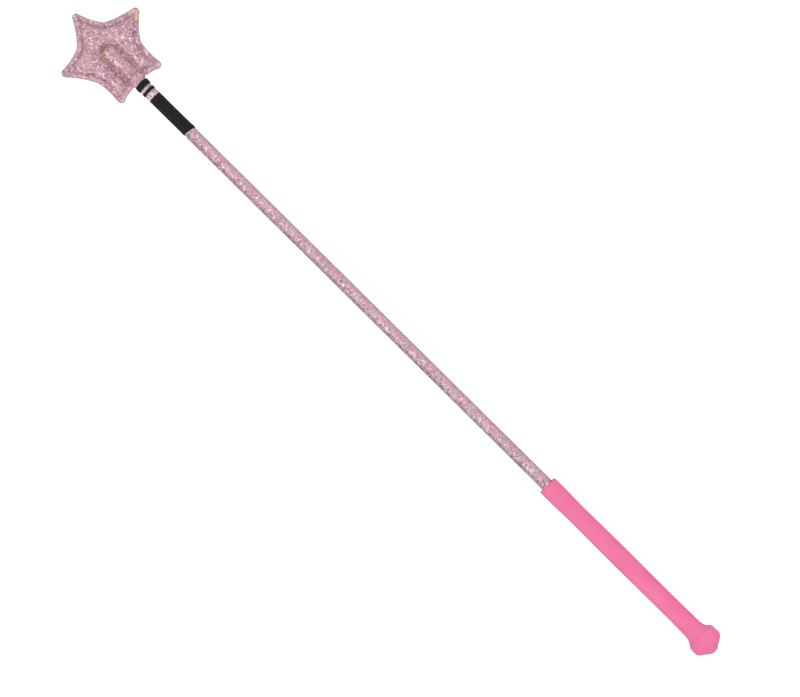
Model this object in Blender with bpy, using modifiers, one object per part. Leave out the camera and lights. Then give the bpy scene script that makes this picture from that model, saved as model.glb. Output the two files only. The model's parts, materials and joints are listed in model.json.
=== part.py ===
"""Riding crop with a padded star flapper.

The crop lies along X with its knob at -X, its star at +X and the star's face up, on the plane z = 0.
Lengths are in metres. A station is a distance along the crop from the flat end of the knob.
"""

import math

import bmesh
import bpy
from mathutils import Matrix, Vector
from mathutils.geometry import intersect_point_line

# Whole crop
LENGTH = 0.650
FIT = 0.0003
KNOB_RADIUS = 0.0119
AXIS_HEIGHT = KNOB_RADIUS

# Rubber grip, with its knob in one moulding
GRIP_END = 0.170
GRIP_BORE_END = 0.0140
GRIP_LIP = 0.0030
MOUTH_RADIUS = 0.0074
MOUTH_ROUND = 0.0013
# (station, radius) down the grip, from behind its rounded mouth to the flat end of the knob
GRIP_HAND = [(0.162, 0.0076), (0.145, 0.0073), (0.110, 0.0074), (0.070, 0.0075), (0.040, 0.0074)]
KNOB_FLARE = [(0.0268, 0.0076), (0.0215, 0.0080), (0.0185, 0.0089), (0.0160, 0.0104)]
KNOB_GIRDLE = [(0.0142, 0.0114), (0.0125, KNOB_RADIUS), (0.0090, KNOB_RADIUS)]
KNOB_CROWN = [(0.0072, 0.0113), (0.0052, 0.0100), (0.0028, 0.0070), (0, 0.0033)]
TAPE_RADIUS = 0.0054
TAPE_START = 0.020
TAPE_WALL = 0.0002

# Covered shaft: rod, filler tube, glitter film and clear tube, from the inside out
SHAFT_START = GRIP_BORE_END + 2 * FIT
SHAFT_END = 0.5303
ROD_RADIUS = 0.0022
FILLER_BORE = ROD_RADIUS + FIT
FILLER_RADIUS = 0.0034
WRAP_BORE = FILLER_RADIUS + FIT
WRAP_RADIUS = 0.0040
CLEAR_BORE = 0.0044
CLEAR_RADIUS = 0.0049

# Splice between the shaft and the flexible stem
STEM_START = 0.5410
ROD_END = 0.5706
SOCKET_END = ROD_END + FIT
LINER_END = 0.5666
LINER_COLLAR = 0.0008
LINER_BORE = 0.00425
LINER_RADIUS = 0.0045
SLEEVE_END = 0.5670
SLEEVE_BORE = 0.00475
SLEEVE_RADIUS = 0.00505

# Bands between the splice and the star
TIP_WRAP_END = 0.5810
TIP_WRAP_RADIUS = 0.0048
BAND_BORE = TIP_WRAP_RADIUS + FIT
RING_START = 0.5717
RING_END = 0.5741
RING_RADIUS = 0.0053
BINDING_START = 0.5764
BINDING_END = 0.5813
BINDING_RADIUS = 0.0056
STEM_RADIUS = 0.0040
STEM_TIP_RADIUS = 0.0033
STEM_TAPER_START = 0.5790
STEM_TAPER_END = 0.5835
STEM_END = 0.6130
FLEX_START = BINDING_END + 0.0010

# Star flapper. Corners are (angle in degrees from the crop's line, radius, rounding), for one side
STAR_CENTRE = 0.6116
STAR_CORNERS = [
    (0.0, 0.0413, 0.0030),
    (35.0, 0.0234, 0.0020),
    (73.5, 0.0408, 0.0032),
    (112.0, 0.0236, 0.0020),
    (148.5, 0.0396, 0.0034),
    (164.0, 0.0308, 0.0008),
    (165.5, 0.0278, 0.0002),
]
CORNER_STEPS = 4
EDGE_STEP = 0.0062
NECK_STEPS = 10
FABRIC = 0.0008
SEAM_INSET = 0.0039
THREAD_INSET = 0.0032
THREAD_RADIUS = 0.0002
THREAD_REACH = 0.0015
STAR_INRADIUS = 0.0215
# Insets of the sheet's rings from the cut edge
RING_INSETS = [SEAM_INSET, 0.0046, 0.0062, 0.0085, 0.0115, 0.0150, 0.0185]
PADDING_INSETS = RING_INSETS[2:]
LOBE_HEIGHT = 0.0049
LOBE_SHOULDER = 0.0090
POCKET_HALF = 0.00685
POCKET_TURN = 0.6186 - POCKET_HALF - STAR_CENTRE
POCKET_STEPS = 8
POCKET_SIDE_STEPS = 6
POCKET_SHOULDER = 0.0050
POCKET_FLOOR = 0.2
RIDGE_HEIGHT = 0.0045
PADDING_FILL = 0.75

ROUND_STEPS = 32
TUBE_STEPS = 24
MERGE = 0.00001

crop = bpy.data.collections.new("riding_crop")
cutters = bpy.data.collections.new("cutters")


def clear_scene():
    for obj in list(bpy.data.objects):
        bpy.data.objects.remove(obj, do_unlink=True)


def make_material(name, color, roughness, metallic=0.0, transmission=0.0):
    material = bpy.data.materials.new(name)
    material.use_nodes = True
    shader = material.node_tree.nodes["Principled BSDF"]
    shader.inputs["Base Color"].default_value = (*color, 1.0)
    shader.inputs["Roughness"].default_value = roughness
    shader.inputs["Metallic"].default_value = metallic
    shader.inputs["Transmission Weight"].default_value = transmission
    return material


def add_part(name, data, material, parent=None):
    obj = bpy.data.objects.new(name, data)
    obj.data.materials.append(material)
    crop.objects.link(obj)
    obj.parent = parent
    return obj


def x_at(station):
    """World X of a station along the crop."""
    return station - LENGTH / 2


# Turned pieces


def turned(name, outline, material, closed=True, steps=TUBE_STEPS):
    """Turns an outline of (station, radius) round the crop's axis. Outside, it runs from tip to butt."""
    mesh = bpy.data.meshes.new(name)
    points = [(radius, 0, station) for station, radius in outline]
    edges = [(i, i + 1) for i in range(len(points) - 1)]
    if closed:
        edges.append((len(points) - 1, 0))
    mesh.from_pydata(points, edges, [])
    obj = add_part(name, mesh, material)
    obj.location = (x_at(0), 0, AXIS_HEIGHT)
    obj.rotation_euler = (0, math.pi / 2, 0)
    screw = obj.modifiers.new("turn", "SCREW")
    screw.steps = steps
    screw.render_steps = steps
    screw.use_merge_vertices = True
    screw.merge_threshold = MERGE
    screw.use_smooth_shade = True
    return obj


def tube(name, start, end, bore, radius, material):
    return turned(name, [(end, radius), (start, radius), (start, bore), (end, bore)], material)


def arc(centre, radius, start_deg, end_deg, steps):
    """Points of (station, radius) on an arc, with 0 degrees towards the tip and 90 away from the axis."""
    points = []
    for step in range(steps + 1):
        angle = math.radians(start_deg + (end_deg - start_deg) * step / steps)
        points.append((centre[0] + radius * math.cos(angle), centre[1] + radius * math.sin(angle)))
    return points


def make_grip(material):
    """Blind rubber grip. Its bore is eased over the tape and its lip closes on the clear tube."""
    lip_bore = CLEAR_RADIUS + FIT
    tape_bore = TAPE_RADIUS + FIT
    inside = [
        (GRIP_BORE_END, 0),
        (GRIP_BORE_END, tape_bore),
        (GRIP_END - GRIP_LIP, tape_bore),
        (GRIP_END - GRIP_LIP, lip_bore),
        (GRIP_END, lip_bore),
    ]
    mouth = arc((GRIP_END - MOUTH_ROUND, MOUTH_RADIUS - MOUTH_ROUND), MOUTH_ROUND, 0, 90, 3)
    knob = KNOB_FLARE + KNOB_GIRDLE + KNOB_CROWN + [(0, 0)]
    return turned("grip", inside + mouth + GRIP_HAND + knob, material, False, ROUND_STEPS)


def make_core_rod(material):
    rod_length = ROD_END - SHAFT_START
    bpy.ops.mesh.primitive_cylinder_add(
        vertices=TUBE_STEPS,
        radius=ROD_RADIUS,
        depth=rod_length,
        location=(x_at(SHAFT_START + rod_length / 2), 0, AXIS_HEIGHT),
        rotation=(0, math.pi / 2, 0),
    )
    rod = bpy.context.object
    rod.name = "core_rod"
    rod.data.materials.append(material)
    for collection in list(rod.users_collection):
        collection.objects.unlink(rod)
    crop.objects.link(rod)
    rod.data.shade_smooth()
    rod.data.set_sharp_from_angle(angle=math.radians(40))
    return rod


def make_liner(material):
    """Adhesive lining of the sleeve. Its collar is the bead that shows where the clear tube stops."""
    start = SHAFT_END + FIT
    collar_end = start + LINER_COLLAR
    outline = [
        (LINER_END, LINER_RADIUS),
        (collar_end, LINER_RADIUS),
        (collar_end, CLEAR_RADIUS),
        (start, CLEAR_RADIUS),
        (start, LINER_BORE),
        (LINER_END, LINER_BORE),
    ]
    return turned("adhesive_liner", outline, material)


def make_stem(material):
    """Flexible stem: a socket for the rod at one end, and a rounded end in the star's pocket."""
    nose = arc((STEM_END - STEM_TIP_RADIUS, 0), STEM_TIP_RADIUS, 0, 90, 4)
    socket = ROD_RADIUS + FIT
    outline = nose + [
        (STEM_TAPER_END, STEM_TIP_RADIUS),
        (STEM_TAPER_START, STEM_RADIUS),
        (STEM_START, STEM_RADIUS),
        (STEM_START, socket),
        (SOCKET_END, socket),
        (SOCKET_END, 0),
    ]
    return turned("stem", outline, material, closed=False)


# Star flapper, drawn about its own centre with the far arm along +X


def rounded_corner(before, corner, after, rounding):
    """The arc that replaces a corner of an outline, tangent to both of its edges."""
    to_before = (before - corner).normalized()
    to_after = (after - corner).normalized()
    half = to_before.angle(to_after) / 2
    centre = corner + (to_before + to_after).normalized() * rounding / math.sin(half)
    start = corner + to_before * rounding / math.tan(half) - centre
    end = corner + to_after * rounding / math.tan(half) - centre
    turns = [start.slerp(end, step / CORNER_STEPS).normalized() for step in range(CORNER_STEPS + 1)]
    return [centre + turn * rounding for turn in turns]


def between(start, end, pieces):
    """The points that divide a straight edge into equal pieces, without its ends."""
    return [start.lerp(end, piece / pieces) for piece in range(1, pieces)]


def star_outline():
    """The star's cut edge, from one side of the neck round all five arms, and then across the neck."""
    left = [(-angle, radius, rounding) for angle, radius, rounding in reversed(STAR_CORNERS[1:])]
    corners = left + STAR_CORNERS
    places = []
    for angle, radius, _ in corners:
        turn = math.radians(angle)
        places.append(Vector((radius * math.cos(turn), radius * math.sin(turn))))
    outline = []
    for i, (_, _, rounding) in enumerate(corners):
        curve = rounded_corner(places[i - 1], places[i], places[(i + 1) % len(places)], rounding)
        if outline:
            pieces = round((curve[0] - outline[-1]).length / EDGE_STEP)
            outline += between(outline[-1], curve[0], pieces)
        outline += curve
    return outline + between(outline[-1], outline[0], NECK_STEPS)


def depth_inside(point, outline):
    """How far in from the cut edge a point is, counted on the rings that shrink the outline."""
    for start, end in zip(outline, outline[1:] + outline[:1]):
        if start.cross(point) >= 0 and point.cross(end) >= 0 and point.dot(start + end) > 0:
            return STAR_INRADIUS * (1 - point.cross(end - start) / start.cross(end - start))
    return STAR_INRADIUS


def distance_to_path(point, path):
    """Shortest distance from a point to an open path."""
    nearest = math.inf
    for start, end in zip(path, path[1:]):
        along = intersect_point_line(point, start, end)[1]
        foot = start.lerp(end, min(max(along, 0), 1))
        nearest = min(nearest, (point - foot).length)
    return nearest


def pocket_end(half):
    """Half circle round the closed end of the pocket, from +Y to -Y."""
    points = []
    for step in range(POCKET_STEPS + 1):
        angle = math.pi * step / POCKET_STEPS
        points.append(Vector((POCKET_TURN + half * math.sin(angle), half * math.cos(angle))))
    return points


def pocket_path():
    """The seam of the stem's pocket: up one side of the stem, round its end and back."""
    turn = pocket_end(POCKET_HALF)
    neck_angle, neck_radius, _ = STAR_CORNERS[-1]
    start = Vector((neck_radius * math.cos(math.radians(neck_angle)), POCKET_HALF))
    side = [start, *between(start, turn[0], POCKET_SIDE_STEPS)]
    return side + turn + [Vector((point.x, -point.y)) for point in reversed(side)]


def pillow(distance, shoulder):
    """Rises from 0 at a seam, steeply and then gently, to 1 at the shoulder's width from it."""
    reach = min(max(distance / shoulder, 0), 1)
    return math.sqrt(1 - (1 - reach) ** 2)


def inside_pocket(point):
    return math.hypot(max(point.x - POCKET_TURN, 0), point.y) < POCKET_HALF


def inner_height(point, outline, pocket):
    """Height of a panel's inner face over the star's middle plane."""
    if inside_pocket(point):
        across = math.hypot(max(point.x - POCKET_TURN, 0), point.y) / POCKET_HALF
        return FIT / 2 + RIDGE_HEIGHT * math.cos(math.pi * across / 2) ** 2
    from_border = pillow(depth_inside(point, outline) - SEAM_INSET, LOBE_SHOULDER)
    from_pocket = max(pillow(distance_to_path(point, pocket), POCKET_SHOULDER), POCKET_FLOOR)
    return FIT / 2 + LOBE_HEIGHT * from_border * from_pocket


def star_sheet(outline, insets):
    """A flat sheet of rings, each the outline shrunk towards the centre, closed by a fan in the middle.

    It is split into triangles before it is shaped, so that stacked layers have the same facets.
    """
    sheet = bmesh.new()
    ring = bmesh.ops.create_circle(sheet, segments=len(outline), radius=1)["verts"]
    for vert, point in zip(ring, outline):
        vert.co = (*point, 0)
    edges = list(sheet.edges)
    scale = 1.0
    for inset in insets:
        next_scale = 1 - inset / STAR_INRADIUS
        grown = bmesh.ops.extrude_edge_only(sheet, edges=edges)["geom"]
        edges = [item for item in grown if isinstance(item, bmesh.types.BMEdge) and item.is_boundary]
        ring = {vert for edge in edges for vert in edge.verts}
        bmesh.ops.scale(sheet, vec=Vector.Fill(3, next_scale / scale), verts=list(ring))
        scale = next_scale
    middle = bmesh.ops.contextual_create(sheet, geom=edges)["faces"]
    bmesh.ops.poke(sheet, faces=middle)
    bmesh.ops.triangulate(sheet, faces=list(sheet.faces))
    return sheet


def thicken(sheet, heights):
    """Makes the sheet a solid. Each point goes to the upper of its two heights, its copy to the lower."""
    before = set(sheet.verts)
    grown = bmesh.ops.extrude_face_region(sheet, geom=list(sheet.faces), use_keep_orig=True)["geom"]
    lower = [item for item in grown if isinstance(item, bmesh.types.BMVert) and item not in before]
    for vert in sheet.verts:
        vert.co.z = max(heights(vert.co.to_2d()))
    for vert in lower:
        vert.co.z = min(heights(vert.co.to_2d()))
    bmesh.ops.recalc_face_normals(sheet, faces=list(sheet.faces))


def star_mesh(name, sheet):
    mesh = bpy.data.meshes.new(name)
    sheet.to_mesh(mesh)
    sheet.free()
    mesh.shade_smooth()
    mesh.set_sharp_from_angle(angle=math.radians(50))
    return mesh


def make_panels(outline, pocket, material, flapper):
    """Front panel, and the back panel as its mirror image."""
    sheet = star_sheet(outline, RING_INSETS)

    def heights(point):
        inner = inner_height(point, outline, pocket)
        return inner, inner + FABRIC

    thicken(sheet, heights)
    front = star_mesh("star_front_panel", sheet)
    back = front.copy()
    back.transform(Matrix.Diagonal((1, 1, -1, 1)))
    back.flip_normals()
    add_part("star_front_panel", front, material, flapper)
    add_part("star_back_panel", back, material, flapper)


def make_slot_cutter(flapper):
    """Rounded slot that leaves the pocket clear of the padding."""
    half = POCKET_HALF + 4 * FIT
    beyond_neck = -2 * STAR_INRADIUS
    curve = bpy.data.curves.new("pocket_slot", "CURVE")
    curve.dimensions = "2D"
    curve.fill_mode = "BOTH"
    curve.extrude = 2 * LOBE_HEIGHT
    corners = [(beyond_neck, half), *pocket_end(half), (beyond_neck, -half)]
    spline = curve.splines.new("POLY")
    spline.points.add(len(corners) - 1)
    for point, corner in zip(spline.points, corners):
        point.co = (*corner, 0, 1)
    spline.use_cyclic_u = True
    drawn = bpy.data.objects.new("pocket_slot_curve", curve)
    bpy.context.scene.collection.objects.link(drawn)
    graph = bpy.context.evaluated_depsgraph_get()
    mesh = bpy.data.meshes.new_from_object(drawn.evaluated_get(graph))
    bpy.data.objects.remove(drawn, do_unlink=True)
    welded = bmesh.new()
    welded.from_mesh(mesh)
    bmesh.ops.remove_doubles(welded, verts=list(welded.verts), dist=MERGE)
    bmesh.ops.recalc_face_normals(welded, faces=list(welded.faces))
    welded.to_mesh(mesh)
    welded.free()
    cutter = bpy.data.objects.new("pocket_slot", mesh)
    cutters.objects.link(cutter)
    cutter.parent = flapper
    cutter.hide_render = True
    cutter.display_type = "WIRE"
    return cutter


def make_padding(outline, pocket, material, flapper):
    """Foam that fills the lobes, slotted from the neck to the end of the pocket."""
    scales = [1 - inset / STAR_INRADIUS for inset in PADDING_INSETS]
    edge = [point * scales[0] for point in outline]
    sheet = star_sheet(edge, [STAR_INRADIUS * (1 - scale / scales[0]) for scale in scales[1:]])

    def heights(point):
        half = max(PADDING_FILL * inner_height(point, outline, pocket) - FIT, FIT)
        return half, -half

    thicken(sheet, heights)
    padding = add_part("star_padding", star_mesh("star_padding", sheet), material, flapper)
    cut = padding.modifiers.new("pocket_slot", "BOOLEAN")
    cut.operation = "DIFFERENCE"
    cut.solver = "EXACT"
    cut.object = make_slot_cutter(flapper)
    return padding


def make_thread(name, path, material, flapper):
    """One sewing thread, laid along a seam as a thin closed tube."""
    curve = bpy.data.curves.new(name, "CURVE")
    curve.dimensions = "3D"
    curve.bevel_depth = THREAD_RADIUS
    curve.bevel_resolution = 0
    curve.use_fill_caps = True
    spline = curve.splines.new("POLY")
    spline.points.add(len(path) - 1)
    for point, place in zip(spline.points, path):
        point.co = (*place, 1)
    return add_part(name, curve, material, flapper)


def make_threads(outline, pocket, material, flapper):
    """Needle thread over the front of each seam, and bobbin thread over the back."""
    scale = 1 - THREAD_INSET / STAR_INRADIUS
    clear = FABRIC + FIT + THREAD_RADIUS
    first = 2 * (CORNER_STEPS + 1)
    last = len(outline) - NECK_STEPS - first
    edge = [(*(point * scale), FIT / 2 + clear) for point in outline[first : last + 1]]
    reaches = (-THREAD_REACH, THREAD_REACH)
    ridge = []
    for point in pocket:
        sides = [point + Vector((along, across)) for along in reaches for across in reaches]
        ridge.append((*point, max(inner_height(side, outline, pocket) for side in sides) + clear))
    for seam, path in (("border", edge), ("pocket", ridge)):
        make_thread(f"{seam}_needle_thread", path, material, flapper)
        make_thread(f"{seam}_bobbin_thread", [(x, y, -z) for x, y, z in path], material, flapper)


def make_flapper(fabric, foam, thread):
    """The star rides on an empty at the neck, where the stem flexes."""
    hinge = Vector((x_at(FLEX_START), 0, AXIS_HEIGHT))
    centre = Vector((x_at(STAR_CENTRE), 0, AXIS_HEIGHT))
    flex = bpy.data.objects.new("flapper_flex", None)
    flex.location = hinge
    crop.objects.link(flex)
    flapper = bpy.data.objects.new("star_centre", None)
    flapper.location = centre - hinge
    flapper.parent = flex
    crop.objects.link(flapper)
    outline = star_outline()
    pocket = pocket_path()
    make_panels(outline, pocket, fabric, flapper)
    make_padding(outline, pocket, foam, flapper)
    make_threads(outline, pocket, thread, flapper)


def build():
    clear_scene()
    bpy.context.scene.collection.children.link(crop)
    bpy.context.scene.collection.children.link(cutters)
    rubber = make_material("pink_rubber", (0.87, 0.17, 0.38), 0.55)
    tape = make_material("grip_tape", (0.75, 0.72, 0.62), 0.8)
    fibreglass = make_material("fibreglass", (0.80, 0.78, 0.62), 0.4)
    filler = make_material("white_plastic", (0.78, 0.78, 0.76), 0.6)
    glitter_film = make_material("glitter_film", (0.62, 0.38, 0.46), 0.35, metallic=0.4)
    clear_pvc = make_material("clear_pvc", (0.92, 0.88, 0.90), 0.1, transmission=1.0)
    adhesive = make_material("hot_melt", (0.80, 0.72, 0.58), 0.4)
    heat_shrink = make_material("heat_shrink", (0.012, 0.012, 0.013), 0.45)
    stem_plastic = make_material("stem_plastic", (0.75, 0.75, 0.73), 0.5)
    glitter_fabric = make_material("glitter_fabric", (0.60, 0.36, 0.44), 0.45, metallic=0.3)
    foam = make_material("foam", (0.85, 0.84, 0.80), 0.95)
    thread = make_material("thread", (0.55, 0.32, 0.40), 0.7)

    make_grip(rubber)
    tape_end = GRIP_END - GRIP_LIP - FIT
    tube("grip_tape", TAPE_START, tape_end, TAPE_RADIUS - TAPE_WALL, TAPE_RADIUS, tape)
    make_core_rod(fibreglass)
    tube("shaft_filler", SHAFT_START, STEM_START - FIT, FILLER_BORE, FILLER_RADIUS, filler)
    tube("glitter_wrap", SHAFT_START, STEM_START - FIT, WRAP_BORE, WRAP_RADIUS, glitter_film)
    tube("clear_tube", SHAFT_START, SHAFT_END, CLEAR_BORE, CLEAR_RADIUS, clear_pvc)
    make_liner(adhesive)
    sleeve_start = SHAFT_END + 2 * FIT + LINER_COLLAR
    tube("splice_sleeve", sleeve_start, SLEEVE_END, SLEEVE_BORE, SLEEVE_RADIUS, heat_shrink)
    make_stem(stem_plastic)
    tube("tip_wrap", SLEEVE_END + FIT, TIP_WRAP_END, STEM_RADIUS + FIT, TIP_WRAP_RADIUS, glitter_fabric)
    tube("ring_band", RING_START, RING_END, BAND_BORE, RING_RADIUS, heat_shrink)
    tube("neck_binding", BINDING_START, BINDING_END, BAND_BORE, BINDING_RADIUS, heat_shrink)
    make_flapper(glitter_fabric, foam, thread)


build()
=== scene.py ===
"""Looks of the riding crop: fine meshes and materials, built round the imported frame.

Lengths are in metres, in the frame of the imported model: X runs along the crop to the star's far tip.
"""

import json
import math

import bmesh
import bpy
import numpy as np
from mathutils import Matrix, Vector, noise
from mathutils.geometry import delaunay_2d_cdt, interpolate_bezier


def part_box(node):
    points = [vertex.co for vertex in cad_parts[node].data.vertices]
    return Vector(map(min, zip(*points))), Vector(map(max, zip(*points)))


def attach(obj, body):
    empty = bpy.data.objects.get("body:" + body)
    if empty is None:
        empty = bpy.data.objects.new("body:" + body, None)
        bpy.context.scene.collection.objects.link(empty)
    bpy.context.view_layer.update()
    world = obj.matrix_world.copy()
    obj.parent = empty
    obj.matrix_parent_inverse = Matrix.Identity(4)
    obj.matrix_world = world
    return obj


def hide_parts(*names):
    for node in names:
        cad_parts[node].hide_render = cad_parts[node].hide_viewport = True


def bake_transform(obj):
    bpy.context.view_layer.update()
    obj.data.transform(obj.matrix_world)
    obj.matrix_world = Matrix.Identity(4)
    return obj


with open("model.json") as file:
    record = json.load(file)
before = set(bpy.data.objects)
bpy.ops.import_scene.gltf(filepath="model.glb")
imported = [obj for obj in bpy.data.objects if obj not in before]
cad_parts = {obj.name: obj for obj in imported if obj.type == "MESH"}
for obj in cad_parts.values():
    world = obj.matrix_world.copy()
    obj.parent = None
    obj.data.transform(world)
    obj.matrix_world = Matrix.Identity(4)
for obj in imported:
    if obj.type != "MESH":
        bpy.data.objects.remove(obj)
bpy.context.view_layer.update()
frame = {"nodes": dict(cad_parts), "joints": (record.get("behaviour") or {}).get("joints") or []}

BOX = {name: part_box(name) for name in frame["nodes"]}
AXIS_Z = (BOX["clear_tube"][0].z + BOX["clear_tube"][1].z) / 2
MOUTH_X = BOX["grip"][1].x
SHAFT = "shaft_assembly"
FLAPPER = "star_flapper"
FIT = 0.0003

# Camera: straight down, turned so that the crop runs from the lower right to the upper left
CAMERA_LENS = 135.0
CAMERA_SENSOR = 36.0
VIEW_WIDTH = 0.5756
VIEW_TURN = -135.32
VIEW_OFFSET = (-0.0107, 0.0046)

# Grip: (distance from the butt, radius) along its outside
GRIP_PROFILE = [
    (0.0000, 0.0027), (0.0008, 0.0038), (0.0033, 0.0074), (0.0064, 0.0112), (0.0080, 0.0117),
    (0.0110, 0.0118), (0.0138, 0.0116), (0.0155, 0.0109), (0.0175, 0.0091), (0.0194, 0.0082),
    (0.0230, 0.0076), (0.0300, 0.00750), (0.0450, 0.00735), (0.0850, 0.00745), (0.1100, 0.00745),
    (0.1430, 0.00725), (0.1610, 0.00760), (0.1668, 0.00755),
]
# The knob is moulded a little off centre, towards -Y: (distance from the butt, shift)
KNOB_SHIFT = [
    (0.0005, 0.0), (0.0033, 0.0005), (0.0067, 0.0003), (0.0110, 0.0), (0.0155, 0.0005), (0.0185, 0.0),
]
MOUTH_ROUND = 0.0010
MOUTH_STEPS = 8
GRIP_STEP = 0.0009
GRIP_WAVER = 0.00012

# Faces round each turned piece
GRIP_ROUND = 112
SHAFT_ROUND = 56
BEAD_ROUND = 72
BAND_ROUND = 96
STEM_ROUND = 40

# Shaft. A clear tube magnifies what it holds, so the film lies close under its surface
FILM_RADIUS = 0.00474
CLEAR_INSIDE = 0.00480
UNDER_GRIP = 0.006
FILM_STEP = 0.001
TUBE_LUMPS = 0.00004
FILM_DENTS = 0.00005

# The splice was cut a little askew, so its ends lean: how far, towards what turn, over what length
SLANT = 0.0008
SLANT_TURN = math.radians(-90)
SLANT_REACH = 0.004

# Sleeve and bands: (bore, radius, rounding of the ends, waver). The rounding is less than the wall
SLEEVE_SIZE = (0.00484, 0.00506, 0.00020, 0.00006)
WRAP_SIZE = (0.00430, 0.00480, 0.00020, 0.00005)
RING_SIZE = (0.00500, 0.00530, 0.00028, 0.00010)
BINDING_SIZE = (0.00510, 0.00570, 0.00055, 0.00018)
WRAP_TUCK = 0.0006
# The tip wrap is greyer between the ring and the binding
WRAP_GREYING = 0.5
# Painted glints on the tip wrap: more white flakes on its +Y side, towards the key light, fewer on the rest
WRAP_SHINE = 0.85
WRAP_DIM = 0.6
WRAP_DIM_EDGE = -0.001
# The sleeve's mouth flares a little all round and more on its -Y side. The binding's end is arched
FLARE_REACH = 0.0035
FLARE_LIFT = 0.00005
FLARE_SIDE = 0.0003
ARCH_DEPTH = 0.0005
ARCH_REACH = 0.002

# Hot melt: the lining inside the sleeve, and the bead squeezed out at its mouth
LINER_BORE = 0.00425
LINER_RADIUS = 0.0045
BEAD_RADIUS = 0.0050
BEAD_FOOT = 0.0046
BEAD_EDGE = 0.0002
BEAD_INSIDE = 0.0049
BEAD_TAPER = 0.0008

# Star, about its own centre: (angle from the crop's line towards +Y, radius, rounding), from neck to neck
STAR_REACH = 0.0384
STAR_CORNERS = [
    (-167.2, 0.0276, 0.0002), (-167.2, 0.0302, 0.0011), (-148.5, 0.0398, 0.0034),
    (-113.0, 0.0233, 0.0022), (-76.0, 0.0408, 0.0032), (-33.0, 0.0226, 0.0022),
    (-2.0, 0.0416, 0.0030), (37.0, 0.0245, 0.0022), (68.5, 0.0412, 0.0032),
    (111.0, 0.0234, 0.0022), (147.0, 0.0388, 0.0034), (167.2, 0.0302, 0.0011),
    (167.2, 0.0276, 0.0002),
]
STAR_X = BOX["star_front_panel"][1].x - STAR_REACH
NECK_X = STAR_CORNERS[0][1] * math.cos(math.radians(STAR_CORNERS[0][0]))
# Its sides bow inwards, less so where they are shorter than this
EDGE_BOW = 0.0009
FULL_BOW_SIDE = 0.015
CORNER_STEPS = 6

# Sheet: the gap between its points. In such gaps: the grid's shake, and how clear of the lines it keeps
GAP = 0.0009
GRID_SHAKE = 0.12
GRID_CLEAR = 0.6
ON_SEAM = 0.3 * GAP

# Seams, the stem's pocket and its ridge, and the panels' thickness and height
SEAM_INSET = 0.0039
POCKET_HALF = 0.00685
POCKET_REACH = 0.0070
POCKET_TOP = POCKET_REACH - POCKET_HALF
FABRIC = 0.0008
PANEL_DEPTH = 0.00089
LOBE_HEIGHT = 0.0062
RIDGE_HEIGHT = 0.0047
RIDGE_ROUND = 1.15

# Marks on the fabric. Painted shade in the border seam's groove, and the cut edge: (strength, width).
# Painted shade in the pocket seam's grooves: +Y side, -Y side
BORDER_GROOVE_SHADE = (0.6, 0.0007)
POCKET_GROOVE_SHADES = (0.42, 0.22)
POCKET_GROOVE_SHADE_WIDTH = 0.0010
# Painted shade: a flat tan-pink line without sparkle along the ridge's -Y flank, away from the key light,
# from the star's mouth to its centre
RIDGE_SHADE_STRENGTH = 0.75
RIDGE_SHADE_LINE = -0.0024
RIDGE_SHADE_WIDTH = 0.0020
RIDGE_SHADE_END = 0.0002
RIDGE_SHADE_FADE = 0.0050
# The cut edge is marked up to RIM_MOST, and not at the mouth, where the neck goes in
RIM_MARK = (1.3, 0.0014)
RIM_MOST = 0.95
NECK_CLEAR = 0.0020

# Painted reflections where the fabric's holographic film shows gold, and painted glints where it shows
# white: (x, y, reach, strength) about the star's centre
GOLD_REFLECTION_SPOTS = [
    (0.0062, -0.0330, 0.0038, 1.00), (0.0018, 0.0054, 0.0036, 1.00), (0.0056, -0.0046, 0.0040, 0.55),
    (0.0010, -0.0024, 0.0040, 0.55), (-0.0096, -0.0050, 0.0038, 0.60), (0.0196, 0.0110, 0.0044, 0.62),
    (0.0098, 0.0160, 0.0044, 0.60), (-0.0260, 0.0140, 0.0036, 0.55), (0.0085, 0.0030, 0.0050, 0.50),
]
PAINTED_GLINT_SPOTS = [
    (0.0015, -0.0141, 0.0032, 1.0), (-0.0184, -0.0186, 0.0024, 1.0), (0.0362, -0.0006, 0.0022, 1.0),
    (-0.0212, 0.0170, 0.0028, 1.0), (-0.0060, 0.0170, 0.0028, 0.9), (-0.0080, -0.0150, 0.0030, 0.9),
    (0.0180, -0.0040, 0.0024, 0.9), (0.0060, 0.0270, 0.0026, 0.9), (0.0010, 0.0026, 0.0024, 1.0),
    (-0.0035, 0.0024, 0.0024, 1.0), (-0.0075, 0.0024, 0.0026, 1.0), (-0.0115, 0.0024, 0.0026, 1.0),
]

# The whole star's waviness, and the fabric's fine grain
WARP = 0.0004
WARP_EASE = 0.008
WARP_LENGTH = 0.016
GRAIN = 0.00005
GRAIN_SEEDS = {1: 11, -1: 12}

# Foam: how far it keeps from the border seam and the pocket, and how much of the panel's height it fills
FOAM_INSET = 0.0018
FOAM_GAP = 0.0012
FOAM_SHARE = 0.82
FOAM_LEAST = 0.0002

# Stitches. The lift is in thread radii, and STITCH_THIN is the share of its radius that a thread ends with
STITCH = 0.0026
STITCH_GAP = 0.0005
STITCH_RINGS = 9
STITCH_SIDES = 8
STITCH_LIFT = 1.6
STITCH_THIN = 0.55
THREAD_RADIUS = 0.00022

# Neck: it opens from NECK_RADIUS to NECK_HALF over NECK_FLARE
HINGE = Vector(frame["joints"][0]["pos_m"])
NECK_RADIUS = 0.0050
NECK_HALF = 0.0067
NECK_FLARE = 0.0020
NECK_LIP = 0.00015
NECK_UNDER = 0.0022
NECK_INTO = 0.0006
NECK_ROUNDS = 96
NECK_RINGS = 40
NECK_FOLDS = 0.0001
NECK_PLAIN = 0.4
# The stem gets slimmer from just before the hinge
STEM_SLIMMER = 0.0007
STEM_TAPER = 0.0045
STEM_TAPER_START = HINGE.x - 0.0033

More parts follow.
